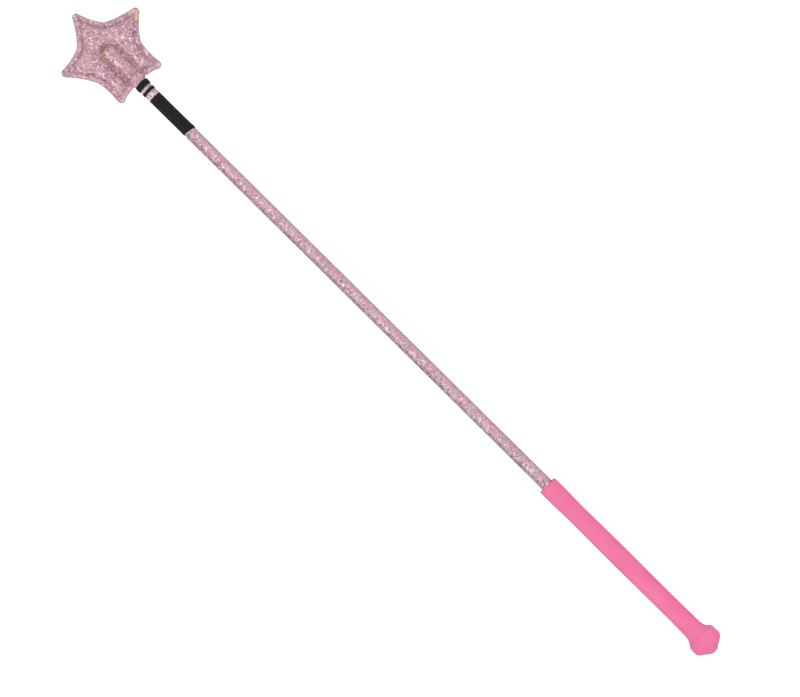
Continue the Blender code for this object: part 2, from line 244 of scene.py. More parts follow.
# Stage
FLOOR_SIZE = 12
FLOOR_MARGIN = 0.005
WORLD_LIGHT = 0.98
KEY_SIZE = (0.26, 0.16)
KEY_PLACE = (0, 2.1, 2.2)
KEY_POWER = 6


# Materials

# Flake colours. The near-white top is partly the glitter's own white flakes and partly painted sparkle
# highlights
STAR_PALETTE = [
    (0.00, (0.35, 0.17, 0.22)), (0.12, (0.46, 0.25, 0.31)), (0.40, (0.57, 0.33, 0.39)),
    (0.70, (0.66, 0.39, 0.46)), (0.90, (0.77, 0.50, 0.57)), (0.97, (0.95, 0.80, 0.86)),
    (1.00, (0.97, 0.90, 0.94)),
]
# Painted shade: the darker mauve laid along the seams' grooves
GROOVE_SHADE_MAUVE = (0.28, 0.12, 0.16)
EDGE_GREY = (0.42, 0.36, 0.37)
# Painted highlight: white flakes standing in for glints
PAINTED_GLINT_WHITE = (0.96, 0.88, 0.93)
# Flat tan-pink: painted shade on the ridge's -Y flank, and the neck's plainer fabric
PLAIN_SHADE_PINK = (0.55, 0.345, 0.355)
# Painted reflection: the gold that the holographic film shows in spots
REFLECTION_GOLD = (0.88, 0.50, 0.24)
FILM_TAN = (0.58, 0.42, 0.36)
# Flake colours. The near-white top is partly the film's own white flakes and partly painted sparkle
# highlights
FILM_PALETTE = [
    (0.00, (0.33, 0.15, 0.20)), (0.12, (0.47, 0.26, 0.32)), (0.40, (0.64, 0.39, 0.46)),
    (0.70, (0.74, 0.46, 0.54)), (0.90, (0.87, 0.64, 0.71)), (0.97, (0.97, 0.90, 0.93)),
    (1.00, (0.97, 0.92, 0.95)),
]
FILM_PINK = (0.66, 0.41, 0.48)
# Painted light and shade across the shaft, from its -Y side to its +Y side: brightest around the middle,
# darker on the +Y flank
SIDE_SHADE_TONES = [
    (0.05, 1.00), (0.30, 1.02), (0.45, 1.10), (0.61, 1.10), (0.71, 0.82), (0.80, 0.76), (1.00, 0.80),
]
# Tint of the clear tube, from where it is seen through straight to its rims
RIM_TINTS = [(0.46, (0.985, 0.975, 0.98)), (0.62, (0.93, 0.92, 0.925)), (0.85, (0.78, 0.77, 0.78))]


def node(tree, kind, settings=None, inputs=None):
    """Adds a shader node. An input takes a value or another node's output."""
    made = tree.nodes.new(kind)
    for name, value in (settings or {}).items():
        setattr(made, name, value)
    for name, value in (inputs or {}).items():
        if isinstance(value, bpy.types.NodeSocket):
            tree.links.new(value, made.inputs[name])
        else:
            made.inputs[name].default_value = value
    return made


def material(name, color, roughness, **values):
    """A Principled material. A value's name is its socket's, with underscores for spaces."""
    made = bpy.data.materials.new(name)
    made.use_nodes = True
    shader = made.node_tree.nodes["Principled BSDF"]
    shader.inputs["Base Color"].default_value = (*color, 1)
    shader.inputs["Roughness"].default_value = roughness
    for socket, value in values.items():
        shader.inputs[socket.replace("_", " ")].default_value = value
    return made, made.node_tree, shader


def feed(tree, shader, **outputs):
    """Links outputs to the shader's sockets, named with underscores for spaces."""
    for socket, output in outputs.items():
        tree.links.new(output, shader.inputs[socket.replace("_", " ")])


def coordinates(tree, stretch=(1, 1, 1)):
    place = node(tree, "ShaderNodeTexCoord").outputs["Object"]
    return node(tree, "ShaderNodeMapping", None, {"Vector": place, "Scale": stretch}).outputs[0]


def noise_value(tree, place, scale, detail):
    inputs = {"Vector": place, "Scale": scale, "Detail": detail}
    return node(tree, "ShaderNodeTexNoise", None, inputs).outputs["Fac"]


def ramp(tree, value, stops):
    """Maps a value through colour stops of (position, colour)."""
    made = node(tree, "ShaderNodeValToRGB", None, {"Fac": value})
    elements = made.color_ramp.elements
    while len(elements) < len(stops):
        elements.new(0.5)
    for element, (position, color) in zip(elements, stops):
        element.position = position
        element.color = (*color, 1) if hasattr(color, "__len__") else (color, color, color, 1)
    return made.outputs["Color"]


def mixed(tree, share, first, second, blend="MIX"):
    made = node(tree, "ShaderNodeMix", {"data_type": "RGBA", "blend_type": blend})
    for index, value in ((0, share), (6, first), (7, second)):
        if isinstance(value, bpy.types.NodeSocket):
            tree.links.new(value, made.inputs[index])
        elif index == 0:
            made.inputs[index].default_value = value
        else:
            made.inputs[index].default_value = (*value, 1)
    return made.outputs[2]


def bump(tree, height, strength, distance, normal=None):
    inputs = {"Height": height, "Strength": strength, "Distance": distance}
    if normal is not None:
        inputs["Normal"] = normal
    return node(tree, "ShaderNodeBump", None, inputs).outputs["Normal"]


def vector_math(tree, operation, first, second=None):
    made = node(tree, "ShaderNodeVectorMath", {"operation": operation})
    for index, value in enumerate((first, second)):
        if isinstance(value, bpy.types.NodeSocket):
            tree.links.new(value, made.inputs[index])
        elif value is not None:
            made.inputs[index].default_value = value
    return made.outputs[0]


def rubber():
    made, tree, shader = material("pink_rubber", (0.87, 0.19, 0.38), 0.55, IOR=1.5)
    place = coordinates(tree)
    cloud = noise_value(tree, place, 55.0, 3.0)
    tone = ramp(tree, cloud, [(0.30, (0.85, 0.155, 0.34)), (0.70, (0.90, 0.190, 0.385))])
    grain = noise_value(tree, place, 3200.0, 2.0)
    pores = node(tree, "ShaderNodeTexVoronoi", None, {"Vector": place, "Scale": 1500.0}).outputs["Distance"]
    rough = ramp(tree, grain, [(0.3, 0.48), (0.7, 0.62)])
    relief = bump(tree, pores, 0.18, 0.0001, bump(tree, grain, 0.25, 0.00008))
    feed(tree, shader, Base_Color=tone, Roughness=rough, Normal=relief)
    return made


def flakes(tree, shader, place, size, palette, tilt, shine):
    """Glitter: each cell is a flake with a colour of its own from the palette and a tilt of its own."""
    cells = node(tree, "ShaderNodeTexVoronoi", None, {"Vector": place, "Scale": 1 / size}).outputs["Color"]
    dust = node(tree, "ShaderNodeTexVoronoi", None, {"Vector": place, "Scale": 2.6 / size}).outputs["Color"]
    pick = node(tree, "ShaderNodeSeparateColor", None, {"Color": cells})
    fine = node(tree, "ShaderNodeSeparateColor", None, {"Color": dust})
    color = ramp(tree, pick.outputs[0], palette)
    grains = ramp(tree, fine.outputs[0], [(0.0, 0.72), (0.5, 1.0), (1.0, 1.22)])
    color = mixed(tree, 1.0, color, grains, "MULTIPLY")
    lean = vector_math(tree, "SUBTRACT", cells, (0.5, 0.5, 0.5))
    small_lean = vector_math(tree, "SUBTRACT", dust, (0.5, 0.5, 0.5))
    lean = vector_math(tree, "ADD", lean, small_lean)
    lean = vector_math(tree, "MULTIPLY", lean, (tilt, tilt, tilt))
    straight = node(tree, "ShaderNodeNewGeometry").outputs["Normal"]
    leaning = vector_math(tree, "NORMALIZE", vector_math(tree, "ADD", straight, lean))
    rough = ramp(tree, pick.outputs[1], [(0.0, shine[0]), (1.0, shine[1])])
    feed(tree, shader, Normal=leaning, Roughness=rough)
    return color


def painted(tree, name):
    """How strongly a mesh carries one of its painted marks. A mesh without it has none."""
    return node(tree, "ShaderNodeAttribute", {"attribute_name": name}).outputs["Fac"]


def glitter_fabric():
    made, tree, shader = material("glitter_fabric", (0.56, 0.35, 0.42), 0.4, Metallic=0.75)
    place = coordinates(tree)
    color = flakes(tree, shader, place, 0.0011, STAR_PALETTE, 0.36, (0.26, 0.46))
    clusters = ramp(tree, noise_value(tree, place, 300.0, 2.0), [(0.36, 0.84), (0.52, 1.0), (0.66, 1.22)])
    color = mixed(tree, 1.0, color, clusters, "MULTIPLY")
    dusty = ramp(tree, noise_value(tree, place, 95.0, 2.0), [(0.54, 0.0), (0.70, 0.35)])
    color = mixed(tree, dusty, color, FILM_TAN)
    # Painted shade on the ridge's -Y flank, and the neck's plainer fabric: flat tan-pink
    color = mixed(tree, painted(tree, "plain_and_shade"), color, PLAIN_SHADE_PINK)
    cells = node(tree, "ShaderNodeTexVoronoi", None, {"Vector": place, "Scale": 1000.0}).outputs["Color"]
    luck = node(tree, "ShaderNodeSeparateColor", None, {"Color": cells})
    # Painted reflections and highlights: tan round the gold spots, then gold and white flakes within them
    color = mixed(tree, ramp(tree, painted(tree, "gold"), [(0.05, 0.0), (0.6, 0.65)]), color, FILM_TAN)
    for mark, draw, threshold, tint in (("gold", 1, 0.50, REFLECTION_GOLD), ("glint", 2, 0.60, PAINTED_GLINT_WHITE)):
        chance = node(tree, "ShaderNodeMath", {"operation": "MULTIPLY"},
                      {0: painted(tree, mark), 1: luck.outputs[draw]}).outputs[0]
        color = mixed(tree, ramp(tree, chance, [(threshold * 0.8, 0.0), (threshold, 0.85)]), color, tint)
    # Painted shade along the seams' grooves
    color = mixed(tree, painted(tree, "seam"), color, GROOVE_SHADE_MAUVE)
    color = mixed(tree, painted(tree, "rim"), color, EDGE_GREY)
    feed(tree, shader, Base_Color=color)
    return made


def glitter_film():
    """Glitter film, with painted light and shade across it: its sparkle flattens to plain pink towards the
    -Y side, and its tone is darker on the +Y flank.
    """
    made, tree, shader = material("glitter_film", FILM_PINK, 0.35, Metallic=0.3)
    place = coordinates(tree, (1.2, 0.8, 0.8))
    color = flakes(tree, shader, place, 0.0013, FILM_PALETTE, 0.45, (0.25, 0.5))
    across = node(tree, "ShaderNodeSeparateXYZ", None, {"Vector": coordinates(tree)}).outputs["Y"]
    turn = node(tree, "ShaderNodeMapRange", None,
                {"Value": across, "From Min": -FILM_RADIUS, "From Max": FILM_RADIUS}).outputs["Result"]
    # Painted shade: plain pink in place of sparkle on the -Y side
    color = mixed(tree, ramp(tree, turn, [(0.30, 0.60), (0.52, 0.0)]), color, FILM_PINK)
    # Painted light and shade across the shaft
    side_shade = ramp(tree, turn, SIDE_SHADE_TONES)
    feed(tree, shader, Base_Color=mixed(tree, 1.0, color, side_shade, "MULTIPLY"))
    return made


def clear_plastic():
    """Thin clear wall: mostly see-through, with a gloss that its lumps break up into glints."""
    made = bpy.data.materials.new("clear_pvc")
    made.use_nodes = True
    tree = made.node_tree
    tree.nodes.remove(tree.nodes["Principled BSDF"])
    place = coordinates(tree, (1.1, 0.7, 0.7))
    lumps = noise_value(tree, place, 750.0, 2.0)
    normal = bump(tree, lumps, 0.6, 0.0003)
    rim = node(tree, "ShaderNodeLayerWeight", None, {"Blend": 0.5}).outputs["Facing"]
    tint = ramp(tree, rim, RIM_TINTS)
    clear = node(tree, "ShaderNodeBsdfTransparent", None, {"Color": tint}).outputs[0]
    gloss_inputs = {"Color": (1, 1, 1, 1), "Roughness": 0.2, "Normal": normal}
    gloss = node(tree, "ShaderNodeBsdfGlossy", None, gloss_inputs).outputs[0]
    facing = node(tree, "ShaderNodeLayerWeight", None, {"Blend": 0.25, "Normal": normal}).outputs["Facing"]
    edge = ramp(tree, facing, [(0.0, 0.022), (0.6, 0.035), (1.0, 0.12)])
    both = node(tree, "ShaderNodeMixShader", None, {0: edge, 1: clear, 2: gloss}).outputs[0]
    tree.links.new(both, tree.nodes["Material Output"].inputs["Surface"])
    return made


def heat_shrink():
    made, tree, shader = material("heat_shrink", (0.010, 0.010, 0.010), 0.38, IOR=1.23)
    place = coordinates(tree, (0.25, 1, 1))
    streaks = noise_value(tree, place, 900.0, 3.0)
    tone = ramp(tree, streaks, [(0.3, (0.008, 0.008, 0.008)), (0.7, (0.013, 0.013, 0.0135))])
    rough = ramp(tree, streaks, [(0.3, 0.32), (0.7, 0.44)])
    feed(tree, shader, Base_Color=tone, Roughness=rough, Normal=bump(tree, streaks, 0.2, 0.00012))
    return made


def hot_melt():
    made, tree, shader = material("hot_melt", (0.74, 0.66, 0.55), 0.35)
    cloud = noise_value(tree, coordinates(tree), 420.0, 2.0)
    tone = ramp(tree, cloud, [(0.35, (0.40, 0.31, 0.23)), (0.6, (0.68, 0.61, 0.52))])
    feed(tree, shader, Base_Color=tone, Normal=bump(tree, cloud, 0.3, 0.0002))
    return made


def thread_material():
    made, tree, shader = material("thread", (0.55, 0.30, 0.39), 0.6, Sheen_Weight=0.3)
    place = coordinates(tree)
    twist = node(tree, "ShaderNodeTexWave", {"bands_direction": "DIAGONAL"},
                 {"Vector": place, "Scale": 1400.0, "Distortion": 1.5}).outputs["Fac"]
    tone = ramp(tree, twist, [(0.2, (0.40, 0.19, 0.27)), (0.8, (0.62, 0.36, 0.45))])
    feed(tree, shader, Base_Color=tone, Normal=bump(tree, twist, 0.5, 0.0001))
    return made


def speckled(name, low, high, scale, roughness, stretch=(1, 1, 1), depth=0.0001):
    """A plain material whose tone and relief come from one noise."""
    made, tree, shader = material(name, high, roughness)
    cloud = noise_value(tree, coordinates(tree, stretch), scale, 3.0)
    tone = ramp(tree, cloud, [(0.3, low), (0.7, high)])
    feed(tree, shader, Base_Color=tone, Normal=bump(tree, cloud, 0.4, depth))
    return made


RUBBER = rubber()
FABRIC_LOOK = glitter_fabric()
FILM_LOOK = glitter_film()
CLEAR = clear_plastic()
BLACK = heat_shrink()
MELT = hot_melt()
THREAD = thread_material()
TAPE = speckled("grip_tape", (0.62, 0.58, 0.48), (0.78, 0.75, 0.66), 1400.0, 0.85)
RODS = speckled("fibreglass", (0.72, 0.70, 0.52), (0.84, 0.82, 0.68), 900.0, 0.4, (0.05, 1, 1))
FILLER = speckled("filler_plastic", (0.72, 0.72, 0.70), (0.80, 0.80, 0.78), 300.0, 0.5)
STEM_LOOK = speckled("stem_plastic", (0.70, 0.70, 0.68), (0.80, 0.80, 0.78), 300.0, 0.5, (0.2, 1, 1))
FOAM = speckled("foam", (0.74, 0.72, 0.66), (0.90, 0.89, 0.84), 1800.0, 0.95, depth=0.0003)


# Making pieces


def outer_radius(name):
    """Half the height of a round node."""
    low, high = BOX[name]
    return (high.z - low.z) / 2


def finish_mesh(mesh, built):
    """Writes a closed mesh with its faces pointing out."""
    bmesh.ops.recalc_face_normals(built, faces=list(built.faces))
    if built.calc_volume(signed=True) < 0:
        bmesh.ops.reverse_faces(built, faces=list(built.faces))
    built.to_mesh(mesh)
    built.free()
    mesh.shade_smooth()


def new_object(name, data):
    made = bpy.data.objects.new(name, data)
    bpy.context.scene.collection.objects.link(made)
    return made


def add_piece(name, mesh, look, slot, *nodes):
    """A piece with its look, which replaces the given CAD nodes. Its slot is not used."""
    piece = new_object(name, mesh)
    mesh.materials.append(look)
    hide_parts(*nodes)
    return piece


def paint(mesh, mark, values):
    """Gives each point of a mesh its strength of a mark, which a material reads."""
    mesh.attributes.new(mark, "FLOAT", "POINT").data.foreach_set("value", values)


def smooth_line(points, gap):
    """Points about a gap apart, on a smooth curve through the given ones."""
    places = [Vector(point) for point in points]
    ways = [(end - start).normalized() for start, end in zip(places, places[1:])]
    turns = [ways[0]] + [(a + b).normalized() for a, b in zip(ways, ways[1:])] + [ways[-1]]
    line = []
    for start, end, leave, arrive in zip(places, places[1:], turns, turns[1:]):
        reach = (end - start).length / 3
        steps = max(round((end - start).length / gap), 1)
        line += interpolate_bezier(start, start + leave * reach, end - arrive * reach, end, steps + 1)[:-1]
    return line + [places[-1]]


def straight_line(start, end, gap):
    steps = max(round((Vector(end) - Vector(start)).length / gap), 1)
    return [Vector(start).lerp(Vector(end), step / steps) for step in range(steps)]


def turned_mesh(name, profile, around, closed=True, shape=None):
    """Spins a profile of (x, radius) round the crop's axis. shape(x, radius, angle) may move each point."""
    built = bmesh.new()
    verts = [built.verts.new((x, 0, AXIS_Z + radius)) for x, radius in profile]
    pairs = list(zip(verts, verts[1:]))
    if closed:
        pairs.append((verts[-1], verts[0]))
    edges = [built.edges.new(pair) for pair in pairs]
    bmesh.ops.spin(built, geom=verts + edges, cent=(0, 0, AXIS_Z), axis=(1, 0, 0), angle=2 * math.pi,
                   steps=around, use_merge=True)
    bmesh.ops.remove_doubles(built, verts=list(built.verts), dist=1e-6)
    if shape:
        for vert in built.verts:
            angle = math.atan2(vert.co.y, vert.co.z - AXIS_Z)
            x, radius = shape(vert.co.x, math.hypot(vert.co.y, vert.co.z - AXIS_Z), angle)
            vert.co = (x, radius * math.sin(angle), AXIS_Z + radius * math.cos(angle))
    mesh = bpy.data.meshes.new(name)
    finish_mesh(mesh, built)
    mesh.set_sharp_from_angle(angle=math.radians(50))
    return mesh


def ripple(x, angle, length, seed=0.0):
    """Smooth noise from -1 to 1 on the crop's round surface, over features of the given length."""
    radius = 0.005
    place = Vector((x, radius * math.sin(angle), radius * math.cos(angle))) / length
    return noise.noise(place + Vector((seed, 0, 0)))


# Grip and shaft


def make_grip():
    """Rubber grip and knob. The bore is closed at the butt and its lip closes on the clear tube."""
    low, high = BOX["grip"]
    lip_bore = outer_radius("clear_tube") + FIT / 2
    tape_bore = outer_radius("grip_tape") + FIT
    outside = smooth_line([(low.x + x, radius) for x, radius in GRIP_PROFILE], GRIP_STEP)
    mouth = outside[-1].y
    rounding = []
    for step in range(1, MOUTH_STEPS + 1):
        angle = math.pi / 2 * step / MOUTH_STEPS
        rounding.append(Vector((high.x - MOUTH_ROUND + MOUTH_ROUND * math.sin(angle),
                                mouth - MOUTH_ROUND + MOUTH_ROUND * math.cos(angle))))
    blind = BOX["core_rod"][0].x - 2 * FIT
    lip = BOX["grip_tape"][1].x + FIT
    bore = [(high.x, lip_bore), (lip, lip_bore), (lip, tape_bore), (blind, tape_bore), (blind, 0)]
    profile = [(low.x, 0), *outside, *rounding, *bore]

    def shape(x, radius, angle):
        if radius < tape_bore + FIT:
            return x, radius
        along = (x - low.x) / (high.x - low.x)
        waver = GRIP_WAVER * ripple(x, angle, 0.02) * math.sin(math.pi * along)
        shift = np.interp(x - low.x, *zip(*KNOB_SHIFT)) * -math.sin(angle)
        return x, radius + waver + shift

    mesh = turned_mesh("rubber_grip", profile, GRIP_ROUND, False, shape)
    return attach(add_piece("rubber_grip", mesh, RUBBER, "pink_rubber", "grip"), SHAFT)


def slanted(x, angle, end):
    """Leans the end of a piece of the splice over its last few millimetres."""
    near = math.exp(-((x - end) / SLANT_REACH) ** 2)
    return x - SLANT * near * math.cos(angle - SLANT_TURN)


def make_shaft():
    """Clear tube and glitter film, with fine meshes from a little inside the grip's mouth onwards."""
    start, end = BOX["clear_tube"][0].x, BOX["clear_tube"][1].x
    show = MOUTH_X - UNDER_GRIP
    wall = outer_radius("clear_tube")

    def tube_shape(x, radius, angle):
        lump = TUBE_LUMPS * ripple(x * 0.6, angle, 0.0014) if radius > CLEAR_INSIDE + FIT / 4 else 0
        return slanted(x, angle, end), radius + lump

    outside = [(start, wall), *straight_line((show, wall), (end, wall), FILM_STEP), (end, wall)]
    inside = [(end, CLEAR_INSIDE), *straight_line((end - 0.002, CLEAR_INSIDE), (start, CLEAR_INSIDE), 0.02),
              (start, CLEAR_INSIDE)]
    mesh = turned_mesh("clear_cover", outside + inside, SHAFT_ROUND, True, tube_shape)
    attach(add_piece("clear_cover", mesh, CLEAR, "clear_pvc", "clear_tube"), SHAFT)

    def film_shape(x, radius, angle):
        dent = FILM_DENTS * ripple(x, angle, 0.0012, 7.0) if radius > FILM_RADIUS - FIT / 4 else 0
        return x, radius + dent

    film_end = BOX["glitter_wrap"][1].x
    liner = BOX["adhesive_liner"][0].x
    last = liner - FILM_STEP
    bore = outer_radius("shaft_filler") + FIT
    slim = outer_radius("glitter_wrap")
    outside = [(start, FILM_RADIUS), *straight_line((show, FILM_RADIUS), (last, FILM_RADIUS), FILM_STEP),
               (last, FILM_RADIUS), (liner, slim), (film_end, slim)]
    inside = [(film_end, bore), (start, bore)]
    mesh = turned_mesh("glitter_film_wrap", outside + inside, SHAFT_ROUND, True, film_shape)
    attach(add_piece("glitter_film_wrap", mesh, FILM_LOOK, "glitter_film", "glitter_wrap"), SHAFT)


def band(name, solid, look, slot, size, seed, shape=None, tuck=0.0):
    """A sleeve or band with softened edges, whose surface and ends waver a little.

    size is (bore, radius, rounding, waver). tuck is how far it starts before its solid, under a neighbour.
    """
    bore, radius, rounding, wave = size
    start, end = BOX[solid][0].x - tuck, BOX[solid][1].x
    outside = smooth_line([(start, radius - rounding), (start + rounding / 3, radius - rounding / 3),
                           (start + rounding, radius)], 0.0002)
    outside += straight_line(outside.pop(), (end - rounding, radius), 0.0005)
    outside += smooth_line([(end - rounding, radius), (end - rounding / 3, radius - rounding / 3),
                            (end, radius - rounding)], 0.0002)
    profile = [*outside, (end, bore), (start, bore)]

    def waver(x, r, angle):
        if shape:
            x, r = shape(x, r, angle)
        if r > bore + FIT / 2:
            r += wave * ripple(x, angle, 0.003, seed)
        return x + wave * 1.5 * ripple(0.0, angle, 0.004, seed + x * 100), r

    mesh = turned_mesh(name, profile, BAND_ROUND, True, waver)
    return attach(add_piece(name, mesh, look, slot, solid), SHAFT)


def paint_carried_nodes():
    for name, look in (("grip_tape", TAPE), ("core_rod", RODS), ("shaft_filler", FILLER)):
        mesh = frame["nodes"][name].data
        mesh.materials.clear()
        mesh.materials.append(look)


def make_splice():
    """Hot-melt bead, black sleeve, glitter wrap, ring and neck binding, from the shaft to the star."""
    mouth = BOX["splice_sleeve"][0].x
    start, end = BOX["adhesive_liner"][0].x, BOX["adhesive_liner"][1].x
    ring_end = BOX["ring_band"][1].x
    binding_end = BOX["neck_binding"][1].x

    def lean(x, radius, angle):
        return slanted(x, angle, mouth), radius

    def flare(x, radius, angle):
        near = math.exp(-((x - mouth) / FLARE_REACH) ** 2)
        side = max(math.cos(angle - SLANT_TURN), 0)
        return slanted(x, angle, mouth), radius + near * (FLARE_LIFT + FLARE_SIDE * side * side)

    def arched(x, radius, angle):
        near = math.exp(-((x - binding_end) / ARCH_REACH) ** 2)
        return x - ARCH_DEPTH * near * math.sin(angle) ** 2, radius

    bead = [(start, BEAD_FOOT), (start + BEAD_EDGE, BEAD_RADIUS), (mouth - FIT, BEAD_RADIUS),
            (mouth, BEAD_INSIDE)]
    lining = [(mouth + BEAD_TAPER, LINER_RADIUS), (end, LINER_RADIUS), (end, LINER_BORE),
              (start, LINER_BORE)]
    mesh = turned_mesh("hot_melt_bead", [*smooth_line(bead, BEAD_EDGE), *lining], BEAD_ROUND, True, lean)
    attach(add_piece("hot_melt_bead", mesh, MELT, "hot_melt", "adhesive_liner"), SHAFT)
    band("black_sleeve", "splice_sleeve", BLACK, "heat_shrink", SLEEVE_SIZE, 1.0, flare)
    wrap = band("tip_glitter_wrap", "tip_wrap", FABRIC_LOOK, "glitter_fabric", WRAP_SIZE, 2.0,
                tuck=WRAP_TUCK)
    places = [vert.co for vert in wrap.data.vertices]
    paint(wrap.data, "rim", [WRAP_GREYING if place.x > ring_end else 0.0 for place in places])
    # Painted highlights: white glint flakes, more on the +Y side
    paint(wrap.data, "glint", [WRAP_SHINE if place.y > WRAP_DIM_EDGE else WRAP_DIM for place in places])
    band("ring", "ring_band", BLACK, "heat_shrink", RING_SIZE, 3.0)
    band("binding", "neck_binding", BLACK, "heat_shrink", BINDING_SIZE, 4.0, arched)


# Star


def rounded_corner(before, corner, after, rounding):
    """The arc that replaces a corner, tangent to both of its edges."""
    to_before = (before - corner).normalized()
    to_after = (after - corner).normalized()
    half = to_before.angle(to_after) / 2
    centre = corner + (to_before + to_after).normalized() * rounding / math.sin(half)
    start = corner + to_before * rounding / math.tan(half) - centre
    end = corner + to_after * rounding / math.tan(half) - centre
    turns = [start.slerp(end, step / CORNER_STEPS).normalized() for step in range(CORNER_STEPS + 1)]
    return [centre + turn * rounding for turn in turns]


def star_outline():
    """The cut edge. Its sides bow in between the corners, where the padding pulls the fabric up."""
    turns = [(math.radians(degrees), radius) for degrees, radius, _ in STAR_CORNERS]
    places = [Vector((radius * math.cos(turn), radius * math.sin(turn))) for turn, radius in turns]
    outline = []
    for i, (_, _, rounding) in enumerate(STAR_CORNERS):
        curve = rounded_corner(places[i - 1], places[i], places[(i + 1) % len(places)], rounding)
        if outline:
            start, end = outline[-1], curve[0]
            inward = Vector((start.y - end.y, end.x - start.x)).normalized()
            steps = max(round((end - start).length / GAP), 1)
            bow = EDGE_BOW * min((end - start).length / FULL_BOW_SIDE, 1)
            for step in range(1, steps):
                share = step / steps
                outline.append(start.lerp(end, share) + inward * bow * 4 * share * (1 - share))
        outline += curve
    return resampled(np.array(outline), GAP, True)


def resampled(path, gap, closed=False):
    """The same path with its points evenly spaced."""
    if closed:
        path = np.vstack([path, path[:1]])
    lengths = np.concatenate([[0], np.cumsum(np.linalg.norm(np.diff(path, axis=0), axis=1))])
    count = max(round(lengths[-1] / gap), 2)
    places = np.linspace(0, lengths[-1], count + 1)
    if closed:
        places = places[:-1]
    return np.stack([np.interp(places, lengths, path[:, axis]) for axis in range(path.shape[1])], axis=1)


def distance_to(points, path, closed=False):
    """How far each point is from a path."""
    ends = np.roll(path, -1, axis=0) if closed else path[1:]
    starts = path if closed else path[:-1]
    nearest = np.full(len(points), np.inf)
    for start, end in zip(starts, ends):
        way = end - start
        share = np.clip(((points - start) @ way) / max(way @ way, 1e-18), 0, 1)
        foot = start + share[:, None] * way
        nearest = np.minimum(nearest, np.linalg.norm(points - foot, axis=1))
    return nearest


def is_inside(points, outline):
    inside = np.zeros(len(points), bool)
    for (x0, y0), (x1, y1) in zip(outline, np.roll(outline, -1, axis=0)):
        crosses = (y0 > points[:, 1]) != (y1 > points[:, 1])
        with np.errstate(divide="ignore", invalid="ignore"):
            cut = (x1 - x0) * (points[:, 1] - y0) / (y1 - y0) + x0
        inside ^= crosses & (points[:, 0] < cut)
    return inside


def inset_path(outline, inset):
    """The line that keeps the inset from the whole outline, open at the neck."""
    way = np.roll(outline, -1, axis=0) - np.roll(outline, 1, axis=0)
    normal = np.stack([-way[:, 1], way[:, 0]], axis=1)
    moved = outline + normal / np.linalg.norm(normal, axis=1)[:, None] * inset
    keep = distance_to(moved, outline, True) > inset * 0.985
    return resampled(moved[keep & is_inside(moved, outline)], GAP)


def pocket_path():
    """Seam of the stem's pocket: up one side, round the stem's end and back."""
    turns = np.linspace(0, math.pi, 17)
    bend = [(POCKET_TOP + POCKET_HALF * math.sin(turn), POCKET_HALF * math.cos(turn)) for turn in turns]
    return resampled(np.array([(NECK_X + GAP, POCKET_HALF), *bend, (NECK_X + GAP, -POCKET_HALF)]), GAP)


OUTLINE = star_outline()
BORDER = inset_path(OUTLINE, SEAM_INSET)
POCKET = pocket_path()


def from_pocket_line(points):
    """How far each point is from the pocket's middle line, which ends at the centre of its round end."""
    return np.hypot(np.maximum(points[:, 0] - POCKET_TOP, 0), points[:, 1])


def in_pocket(points):
    return from_pocket_line(points) < POCKET_HALF


def star_sheet():
    """Flat points and triangles inside the outline, with edges along both seams."""
    low, high = OUTLINE.min(axis=0), OUTLINE.max(axis=0)
    rows = np.arange(low[1], high[1], GAP * math.sqrt(3) / 2)
    columns = np.arange(low[0], high[0], GAP)
    grid = np.array([(x + (i % 2) * GAP / 2, y) for i, y in enumerate(rows) for x in columns])
    shake = np.random.RandomState(5)
    grid += shake.uniform(-GRID_SHAKE, GRID_SHAKE, grid.shape) * GAP
    grid = grid[is_inside(grid, OUTLINE)]
    for path, closed in ((OUTLINE, True), (BORDER, False), (POCKET, False)):
        grid = grid[distance_to(grid, path, closed) > GRID_CLEAR * GAP]
    points = np.vstack([OUTLINE, BORDER, POCKET, grid])
    edges = []
    first = len(OUTLINE)
    for path in (BORDER, POCKET):
        edges += [(first + i, first + i + 1) for i in range(len(path) - 1)]
        first += len(path)
    flat = [Vector(point) * 1000 for point in points]
    faces = [list(range(len(OUTLINE)))]
    made = delaunay_2d_cdt(flat, edges, faces, 1, 1e-4)
    points = np.array([vert[:] for vert in made[0]]) / 1000
    return points, [facing_up(points, face) for face in made[2]]


def facing_up(points, face):
    a, b, c = (Vector(points[i]) for i in face)
    return tuple(face) if (b - a).cross(c - a) > 0 else tuple(reversed(face))


# Inflating. The sheet is ten times its real size while it is simulated; a negative shrink lets it grow
SIM_SCALE = 10.0
SIM_FRAMES = 28
SIM_MASS = 0.004
SIM_AIR_DAMPING = 0.5
SIM_PRESSURE = 380.0
SIM_GROWTH = -0.07
SIM_STIFFNESS = 2.2
SIM_BENDING = 4.0
SIDEWAYS = 0.3


